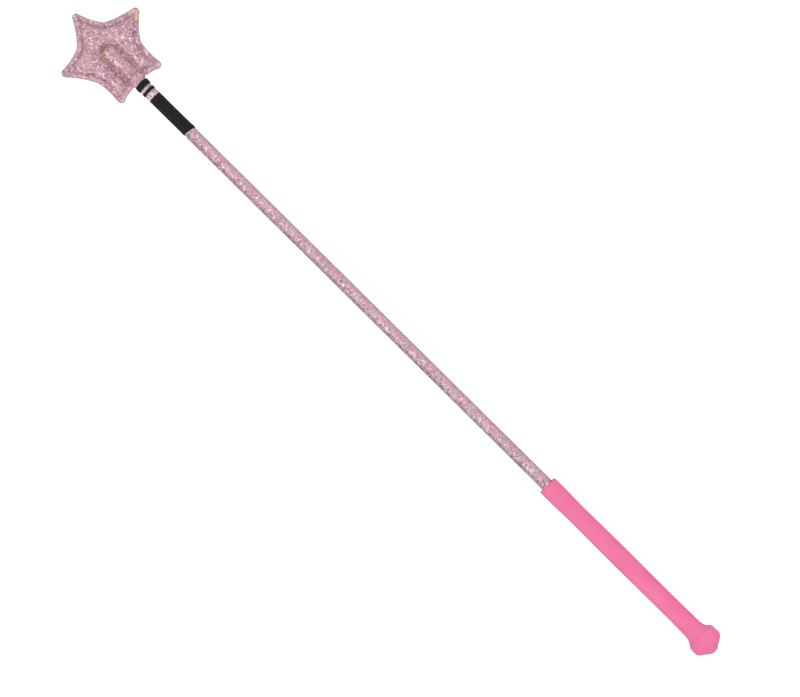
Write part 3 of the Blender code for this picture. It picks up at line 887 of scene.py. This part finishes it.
def puffed(points, faces, pinned):
    """Inflates the flat sheet as cloth held at its seams, and returns where each point ends up."""
    mesh = bpy.data.meshes.new("cloth_sheet")
    mesh.from_pydata([(x * SIM_SCALE, y * SIM_SCALE, 0) for x, y in points], [], faces)
    sheet = new_object("cloth_sheet", mesh)
    group = sheet.vertex_groups.new(name="seams")
    group.add([int(i) for i in np.flatnonzero(pinned)], 1.0, "REPLACE")
    cloth = sheet.modifiers.new("puff", "CLOTH")
    settings = cloth.settings
    settings.vertex_group_mass = "seams"
    settings.mass = SIM_MASS
    settings.air_damping = SIM_AIR_DAMPING
    settings.use_pressure = True
    settings.uniform_pressure_force = SIM_PRESSURE
    settings.effector_weights.gravity = 0
    settings.shrink_min = SIM_GROWTH
    settings.tension_stiffness = SIM_STIFFNESS
    settings.compression_stiffness = SIM_STIFFNESS
    settings.shear_stiffness = SIM_STIFFNESS
    settings.bending_stiffness = SIM_BENDING
    cloth.collision_settings.use_collision = False
    cloth.point_cache.frame_start = 1
    cloth.point_cache.frame_end = SIM_FRAMES
    scene = bpy.context.scene
    for step in range(1, SIM_FRAMES + 1):
        scene.frame_set(step)
    evaluated = sheet.evaluated_get(bpy.context.evaluated_depsgraph_get())
    moved = np.empty(len(points) * 3)
    evaluated.data.vertices.foreach_get("co", moved)
    scene.frame_set(1)
    bpy.data.objects.remove(sheet, do_unlink=True)
    return moved.reshape(-1, 3) / SIM_SCALE


def relaxed(points, faces, held):
    """Evens out fine creases: each free point moves towards the mean of its neighbours."""
    pairs = {tuple(sorted((face[i], face[i - 1]))) for face in faces for i in range(3)}
    first, second = np.array(sorted(pairs)).T
    count = np.bincount(np.concatenate([first, second]), minlength=len(points))
    total = np.zeros_like(points)
    np.add.at(total, first, points[second])
    np.add.at(total, second, points[first])
    mean = total / np.maximum(count, 1)[:, None]
    return np.where(held[:, None], points, 0.5 * points + 0.5 * mean)


def ridge_height(points):
    across = from_pocket_line(points) / POCKET_HALF
    return RIDGE_HEIGHT * np.cos(np.pi / 2 * np.clip(across, 0, 1)) ** RIDGE_ROUND


def star_surface():
    """The front's outer face: points over the star's middle plane, faces, distances from the cut edge."""
    points, faces = star_sheet()
    depth = distance_to(points, OUTLINE, True)
    pocket = in_pocket(points)
    seam = distance_to(points, POCKET) < ON_SEAM
    pinned = (depth < SEAM_INSET + 0.1 * GAP) | seam | pocket
    shaped = relaxed(puffed(points, faces, pinned), faces, pinned)
    shaped[:, :2] = points + SIDEWAYS * (shaped[:, :2] - points)
    shaped[:, 2] = LOBE_HEIGHT * np.tanh(shaped[:, 2] / LOBE_HEIGHT)
    shaped[pocket, 2] = ridge_height(points[pocket])
    shaped[:, 2] += FIT / 2 + FABRIC
    return shaped, faces, depth


def star_marks(points, depth):
    """What is painted on the fabric, per point: raw edge, painted shade in the seams' grooves and on the
    ridge's -Y flank, painted gold reflections and painted glints.
    """
    along, across = points.T
    border, pocket = distance_to(points, BORDER), distance_to(points, POCKET)
    # Painted shade along the pocket seam, stronger on its +Y side, and along the border seam
    groove_shade = np.where(across > 0, *POCKET_GROOVE_SHADES) * np.exp(-(pocket / POCKET_GROOVE_SHADE_WIDTH) ** 2)
    seam = np.maximum(BORDER_GROOVE_SHADE[0] * np.exp(-(border / BORDER_GROOVE_SHADE[1]) ** 2), groove_shade)
    plain_and_shade = np.exp(-((across - RIDGE_SHADE_LINE) / RIDGE_SHADE_WIDTH) ** 2) * np.clip((RIDGE_SHADE_END - along) / RIDGE_SHADE_FADE, 0, 1)
    at_neck = (np.abs(across) < POCKET_HALF) & (along < NECK_X + NECK_CLEAR)
    rim = np.where(at_neck, 0, np.clip(RIM_MARK[0] * (1 - depth / RIM_MARK[1]), 0, RIM_MOST))
    spots = {}
    for mark, places in (("gold", GOLD_REFLECTION_SPOTS), ("glint", PAINTED_GLINT_SPOTS)):
        spots[mark] = np.zeros(len(points))
        for x, y, reach, strength in places:
            away = np.hypot(along - x, across - y) / reach
            spots[mark] = np.maximum(spots[mark], strength * np.exp(-away ** 2))
    return {"rim": rim, "seam": seam, "plain_and_shade": RIDGE_SHADE_STRENGTH * plain_and_shade, **spots}


def subdivided(name, points, faces, marks):
    """The sheet with one subdivision, as (mesh, points, normals)."""
    mesh = bpy.data.meshes.new(name)
    mesh.from_pydata(points.tolist(), [], faces)
    for mark, values in marks.items():
        paint(mesh, mark, values.astype(np.float32))
    holder = new_object(name, mesh)
    smooth = holder.modifiers.new("smooth", "SUBSURF")
    smooth.levels = 1
    smooth.render_levels = 1
    fine = bpy.data.meshes.new_from_object(holder.evaluated_get(bpy.context.evaluated_depsgraph_get()))
    bpy.data.objects.remove(holder, do_unlink=True)
    places = np.empty(len(fine.vertices) * 3)
    normals = np.empty(len(fine.vertices) * 3)
    fine.vertices.foreach_get("co", places)
    fine.vertices.foreach_get("normal", normals)
    return fine, places.reshape(-1, 3), normals.reshape(-1, 3)


def eased(share):
    share = min(max(share, 0), 1)
    return share * share * (3 - 2 * share)


def warp(x, y):
    """The whole star is a little wavy, except round the stem."""
    free = eased((math.hypot(max(x - POCKET_REACH, 0), y) - POCKET_HALF) / WARP_EASE)
    return WARP * free * noise.noise(Vector((x, y, 0)) / WARP_LENGTH)


def slab_mesh(name, upper, lower, faces, side=1, marks=None):
    """A closed slab between two layers of points that share their faces, moved to the star's place."""
    built = bmesh.new()
    layers = {mark: built.verts.layers.float.new(mark) for mark in marks or ()}
    tops = [built.verts.new((x, y, z * side + warp(x, y))) for x, y, z in upper]
    bottoms = [built.verts.new((x, y, z * side + warp(x, y))) for x, y, z in lower]
    for mark, layer in layers.items():
        for top, bottom, value in zip(tops, bottoms, marks[mark]):
            top[layer] = value
            bottom[layer] = value
    for face in faces:
        built.faces.new([tops[i] for i in face])
    rims = [edge for edge in built.edges if edge.is_boundary]
    place = {vert: i for i, vert in enumerate(tops)}
    for face in faces:
        built.faces.new([bottoms[i] for i in reversed(face)])
    for edge in rims:
        a, b = (place[vert] for vert in edge.verts)
        built.faces.new([tops[a], tops[b], bottoms[b], bottoms[a]])
    loose = [vert for vert in built.verts if not vert.link_faces]
    bmesh.ops.delete(built, geom=loose, context="VERTS")
    mesh = bpy.data.meshes.new(name)
    bmesh.ops.translate(built, verts=list(built.verts), vec=(STAR_X, 0, AXIS_Z))
    finish_mesh(mesh, built)
    mesh.set_sharp_from_angle(angle=math.radians(60))
    return mesh


def make_panel(name, cad, shaped, faces, depth, side):
    """A glitter panel of even thickness. side is 1 for the front and -1 for the back."""
    marks = star_marks(shaped[:, :2], depth)
    fine, places, normals = subdivided(name + "_sheet", shaped, faces, marks)
    for mark in marks:
        marks[mark] = np.empty(len(places))
        fine.attributes[mark].data.foreach_get("value", marks[mark])
    grain = np.random.RandomState(GRAIN_SEEDS[side]).uniform(-1, 1, (len(places), 1))
    upper = places + normals * grain * GRAIN
    lower = places - normals * PANEL_DEPTH
    polygons = [tuple(polygon.vertices) for polygon in fine.polygons]
    mesh = slab_mesh(name, upper, lower, polygons, side, marks)
    panel = add_piece(name, mesh, FABRIC_LOOK, "glitter_fabric", cad)
    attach(panel, FLAPPER)


def make_foam(shaped, faces, depth):
    """Foam in the lobes, under the panels and clear of the stem's pocket."""
    flat = shaped[:, :2]
    keep = (depth > SEAM_INSET + FOAM_INSET) & ~in_pocket(flat) & (distance_to(flat, POCKET) > FOAM_GAP)
    inside = [face for face in faces if all(keep[i] for i in face)]
    upper = shaped.copy()
    upper[:, 2] = np.maximum((shaped[:, 2] - FABRIC) * FOAM_SHARE - FIT, FOAM_LEAST)
    lower = upper * (1, 1, -1)
    mesh = slab_mesh("star_foam", upper, lower, inside)
    foam = add_piece("star_foam", mesh, FOAM, "foam", "star_padding")
    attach(foam, FLAPPER)


def stitch_mesh(name, path, side):
    """A run of stitches: each rises out of the fabric, lies over it and dips back in."""
    line = resampled(path, STITCH + STITCH_GAP)
    turns = [2 * math.pi * i / STITCH_SIDES for i in range(STITCH_SIDES)]
    built = bmesh.new()
    for start, end in zip(line, line[1:]):
        way = Vector(end - start).normalized()
        start, end = Vector(start) + way * STITCH_GAP / 2, Vector(end) - way * STITCH_GAP / 2
        across = Vector((-way.y, way.x, 0))
        rings = []
        for step in range(STITCH_RINGS):
            share = step / (STITCH_RINGS - 1)
            lift = math.sin(math.pi * share)
            centre = start.lerp(end, share).to_3d()
            centre.z = FIT / 2 + FABRIC - THREAD_RADIUS + STITCH_LIFT * THREAD_RADIUS * lift
            size = THREAD_RADIUS * (STITCH_THIN + (1 - STITCH_THIN) * min(lift * 2, 1))
            ring = []
            for turn in turns:
                up = Vector((0, 0, size * math.sin(turn)))
                ring.append(built.verts.new(centre + across * size * math.cos(turn) + up))
            rings.append(ring)
        for ring, following in zip(rings, rings[1:]):
            for i in range(STITCH_SIDES):
                j = (i + 1) % STITCH_SIDES
                built.faces.new([ring[i], ring[j], following[j], following[i]])
        built.faces.new(rings[0])
        built.faces.new(rings[-1])
    for vert in built.verts:
        x, y, z = vert.co
        vert.co = (x + STAR_X, y, AXIS_Z + z * side + warp(x, y))
    mesh = bpy.data.meshes.new(name)
    finish_mesh(mesh, built)
    return mesh


def make_stitches():
    for seam, path in (("border", BORDER), ("pocket", POCKET)):
        for thread, side in (("needle", 1), ("bobbin", -1)):
            name = f"{seam}_{thread}_stitches"
            mesh = stitch_mesh(name, path, side)
            piece = add_piece(name, mesh, THREAD, "thread", f"{seam}_{thread}_thread")
            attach(piece, FLAPPER)


def make_neck():
    """The fabric throat from under the binding into the star's mouth."""
    binding_end = BOX["neck_binding"][1].x
    start = binding_end - NECK_UNDER
    end = STAR_X + NECK_X + NECK_INTO
    built = bmesh.new()
    plain_and_shade = built.verts.layers.float.new("plain_and_shade")
    loops = []
    for step in range(NECK_RINGS):
        x = start + (end - start) * step / (NECK_RINGS - 1)
        opened = eased((x - binding_end) / NECK_FLARE)
        half = NECK_RADIUS + (NECK_HALF - NECK_RADIUS) * opened
        loop = []
        for i in range(NECK_ROUNDS):
            turn = 2 * math.pi * i / NECK_ROUNDS
            across, up = half * math.sin(turn), math.cos(turn)
            arch = ridge_height(np.array([[0.0, across]]))[0] + FABRIC + FIT / 2 + NECK_LIP
            fold = NECK_FOLDS * opened * noise.noise(Vector((x * 300, across * 500, up)))
            round_rise = (1 - opened) * NECK_RADIUS * abs(up)
            rise = round_rise + opened * (arch + fold) * min(1, 4 * abs(up)) ** 0.5
            loop.append(built.verts.new((x, across, AXIS_Z + math.copysign(rise, up))))
        loops.append(loop)
    for loop, following in zip(loops, loops[1:]):
        for i in range(NECK_ROUNDS):
            j = (i + 1) % NECK_ROUNDS
            built.faces.new([loop[i], loop[j], following[j], following[i]])
    built.faces.new(loops[0])
    built.faces.new(loops[-1])
    # The throat's fabric is plainer: it takes some of the same flat tan-pink
    for vert in built.verts:
        vert[plain_and_shade] = NECK_PLAIN
    mesh = bpy.data.meshes.new("neck_throat")
    finish_mesh(mesh, built)
    mesh.set_sharp_from_angle(angle=math.radians(60))
    neck = add_piece("neck_throat", mesh, FABRIC_LOOK, "glitter_fabric")
    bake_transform(neck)


def make_stem():
    """Flexible stem, with a socket on the rod's end."""
    low, high = BOX["stem"]
    thick = outer_radius("stem")
    slim = thick - STEM_SLIMMER
    bore = outer_radius("core_rod") + FIT
    floor = BOX["core_rod"][1].x + FIT
    taper, tapered = (STEM_TAPER_START, thick), (STEM_TAPER_START + STEM_TAPER, slim)
    turns = np.linspace(0, math.pi / 2, 9)
    nose = [(high.x - slim + slim * math.sin(turn), slim * math.cos(turn)) for turn in turns]
    body = straight_line((low.x, thick), taper, 0.004)
    body += straight_line(taper, tapered, 0.0006)
    body += straight_line(tapered, nose[0], 0.0012)
    profile = [(floor, 0), (floor, bore), (low.x, bore), *body, *nose]
    mesh = turned_mesh("flex_stem", profile, STEM_ROUND, False)
    stem = add_piece("flex_stem", mesh, STEM_LOOK, "stem_plastic", "stem")
    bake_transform(stem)


def make_star():
    shaped, faces, depth = star_surface()
    make_panel("star_front", "star_front_panel", shaped, faces, depth, 1)
    make_panel("star_back", "star_back_panel", shaped, faces, depth, -1)
    make_foam(shaped, faces, depth)
    make_stitches()
    make_neck()
    make_stem()


# Stage


def make_stage():
    """White studio and floor. The floor is below the star's far tip at the joint's downward limit."""
    world = bpy.data.worlds.new("studio")
    world.use_nodes = True
    background = world.node_tree.nodes["Background"]
    background.inputs["Color"].default_value = (1, 1, 1, 1)
    background.inputs["Strength"].default_value = WORLD_LIGHT
    bpy.context.scene.world = world
    reach = BOX["star_front_panel"][1].x - HINGE.x
    drop = reach * math.sin(math.radians(max(frame["joints"][0]["range_deg"])))
    bpy.ops.mesh.primitive_plane_add(size=FLOOR_SIZE, location=(0, 0, AXIS_Z - drop - FLOOR_MARGIN))
    floor = bpy.context.object
    floor.name = "floor"
    made, tree, shader = material("floor", (0.62, 0.62, 0.62), 0.9, Emission_Color=(1, 1, 1, 1))
    seen = node(tree, "ShaderNodeLightPath").outputs["Is Camera Ray"]
    feed(tree, shader, Emission_Strength=ramp(tree, seen, [(0.0, 0.0), (1.0, 0.85)]))
    floor.data.materials.append(made)
    lamp = bpy.data.lights.new("key", "AREA")
    lamp.shape = "RECTANGLE"
    lamp.size, lamp.size_y = KEY_SIZE
    lamp.energy = KEY_POWER
    key = new_object("key", lamp)
    key.location = KEY_PLACE
    key.rotation_euler = (-math.atan2(KEY_PLACE[1], KEY_PLACE[2]), 0, 0)


def make_camera():
    lens = bpy.data.cameras.new("camera")
    lens.lens = CAMERA_LENS
    lens.sensor_width = CAMERA_SENSOR
    camera = new_object("camera", lens)
    distance = VIEW_WIDTH * CAMERA_LENS / CAMERA_SENSOR
    camera.location = (VIEW_OFFSET[0], VIEW_OFFSET[1], AXIS_Z + distance)
    camera.rotation_euler = (0, 0, math.radians(VIEW_TURN))
    bpy.context.scene.camera = camera


make_stage()
make_camera()
make_grip()
make_shaft()
paint_carried_nodes()
make_splice()
make_star()

bpy.context.scene.view_settings.view_transform = "Standard"
